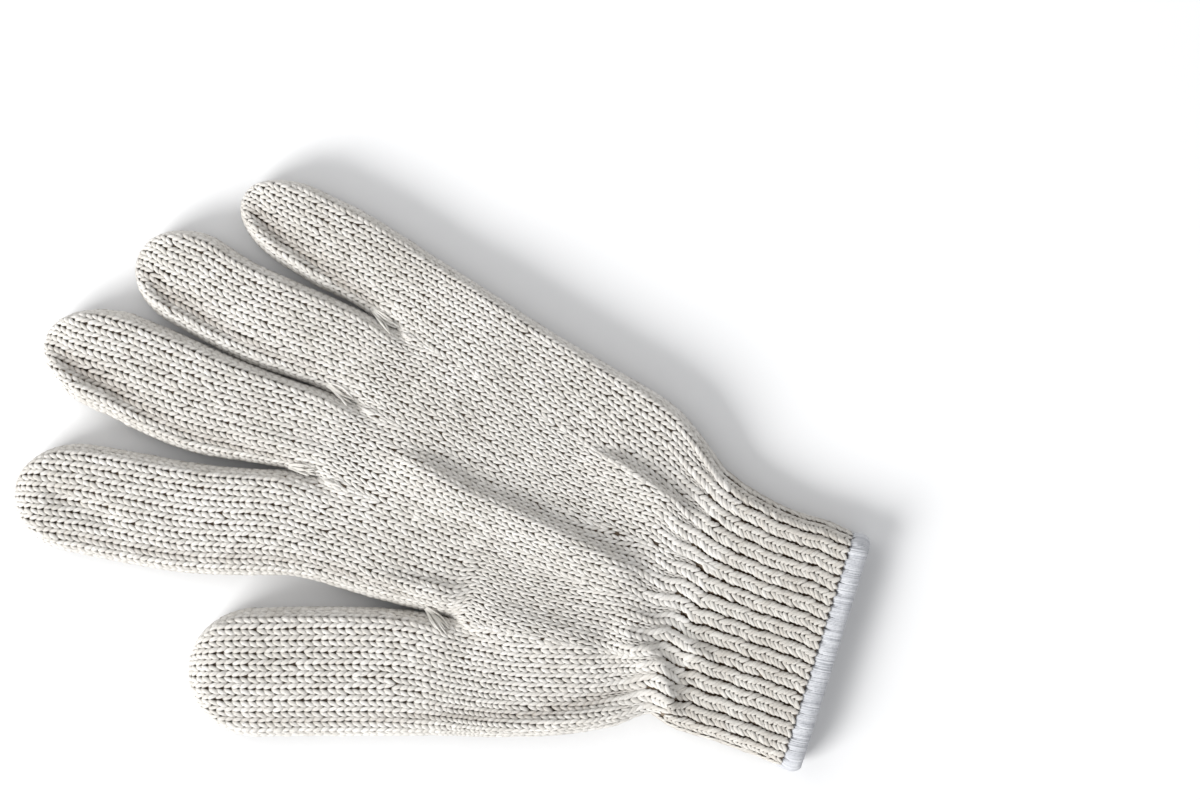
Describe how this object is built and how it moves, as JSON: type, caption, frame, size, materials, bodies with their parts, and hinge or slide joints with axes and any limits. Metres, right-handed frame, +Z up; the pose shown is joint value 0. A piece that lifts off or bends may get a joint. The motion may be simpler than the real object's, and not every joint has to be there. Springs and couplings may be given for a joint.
{
  "type": "knitted cotton work glove",
  "caption": "Seamless string-knit cream cotton work glove lying flat, back up, with a ribbed elastic cuff and a blue-white overlocked edge.",
  "frame": {"origin": "centre of the bounding box in plan, on the surface that the glove lies on", "axes": "+Y from the cuff to the fingertips, +Z up out of the back of the hand, -X the thumb side"},
  "size_m": [0.1561, 0.2468, 0.0164],
  "materials": {
    "knit_cotton": "coarse cream cotton jersey knit, matt and slightly fuzzy",
    "rib_cotton": "the same cream cotton yarn, gathered into deep ribs by elastic",
    "overlock_thread": "fine blue-white overlock thread, dense and matt",
    "yarn_ends": "loose pale cotton yarn ends, frayed"
  },
  "bodies": {
    "root": {"knit_hand": "knit_cotton", "rib_cuff": "rib_cotton", "cuff_overlock": "overlock_thread", "crotch_tuft_thumb": "yarn_ends", "crotch_tuft_index": "yarn_ends", "crotch_tuft_middle": "yarn_ends", "crotch_tuft_ring": "yarn_ends"}
  },
  "joints": []
}
